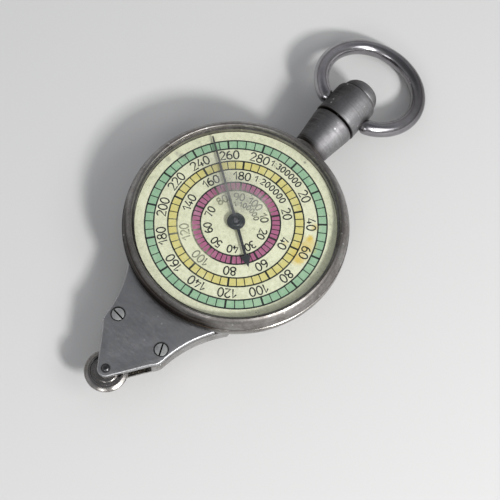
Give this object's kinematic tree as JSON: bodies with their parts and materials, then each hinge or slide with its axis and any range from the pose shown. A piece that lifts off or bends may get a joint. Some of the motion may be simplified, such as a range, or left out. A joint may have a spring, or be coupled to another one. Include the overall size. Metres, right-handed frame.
{
  "type": "map measurer",
  "caption": "Round dial case with a tracing wheel at its tip, a geared hand under a domed glass, and a swivelling ring on a stem, for measuring distances along a map.",
  "frame": {"origin": "on the dial's axis, in the flat back face of the case", "axes": "+Z out of the dial, +Y from the tracing wheel to the ring, +X to the right as the dial is read"},
  "size_m": [0.0336, 0.0737, 0.0102],
  "materials": {
    "polished_nickel": "worn polish",
    "satin_nickel": "satin, fine scratches",
    "steel": "polished",
    "brass": "satin",
    "glass": "clear",
    "dial_paper": "matt",
    "black_lacquer": "semi-matt"
  },
  "bodies": {
    "case": {"case_shell": "polished_nickel", "neck_cover": "satin_nickel", "cover_screws": "steel", "bezel": "polished_nickel", "crystal": "glass", "dial": "dial_paper", "dial_feet": "brass", "bridge": "brass", "bridge_screws": "steel", "bridge_bushes": "brass", "pillars": "brass", "main_plate": "brass", "plate_screws": "steel", "plate_bushes": "brass", "idler_post": "steel", "idler_clip": "steel", "wheel_axle": "steel", "stem": "polished_nickel", "stem_collar": "polished_nickel", "stem_nut": "brass", "swivel_stud": "steel"},
    "hand_assembly": {"hand": "black_lacquer", "hand_boss": "brass", "centre_arbor": "steel", "centre_gear": "brass"},
    "second_assembly": {"second_arbor": "steel", "second_wheel": "brass"},
    "idler": {"idler_gear": "brass"},
    "tracing_assembly": {"tracing_wheel": "polished_nickel", "wheel_pinion": "brass"},
    "swivel": {"swivel_barrel": "polished_nickel", "swivel_cap": "polished_nickel"},
    "ring": {"ring": "polished_nickel"}
  },
  "joints": [
    {"name": "hand_spin", "type": "hinge", "parent": "case", "child": "hand_assembly", "pos_m": [0, 0, 0.0083], "axis": [0, 0, 1], "continuous": true},
    {"name": "second_arbor_spin", "type": "hinge", "parent": "case", "child": "second_assembly", "pos_m": [0, -0.01325, 0.005], "axis": [0, 0, 1], "continuous": true},
    {"name": "idler_spin", "type": "hinge", "parent": "case", "child": "idler", "pos_m": [0, -0.02343, 0.0046], "axis": [0, 0, 1], "continuous": true},
    {"name": "tracing_wheel_spin", "type": "hinge", "parent": "case", "child": "tracing_assembly", "pos_m": [0, -0.0286, 0.005], "axis": [0, 0, 1], "continuous": true},
    {"name": "swivel_turn", "type": "hinge", "parent": "case", "child": "swivel", "pos_m": [0, 0.026, 0.0054], "axis": [0, 1, 0], "continuous": true},
    {"name": "ring_swing", "type": "hinge", "parent": "swivel", "child": "ring", "pos_m": [0, 0.02633, 0.0054], "axis": [0.9962, 0, -0.0872], "range_deg": [-114.3, 145.7]}
  ],
  "couplings": [
    {"joint": "second_arbor_spin", "follows": "hand_spin", "ratio": -10},
    {"joint": "idler_spin", "follows": "hand_spin", "ratio": 16.129},
    {"joint": "tracing_wheel_spin", "follows": "hand_spin", "ratio": -50}
  ]
}
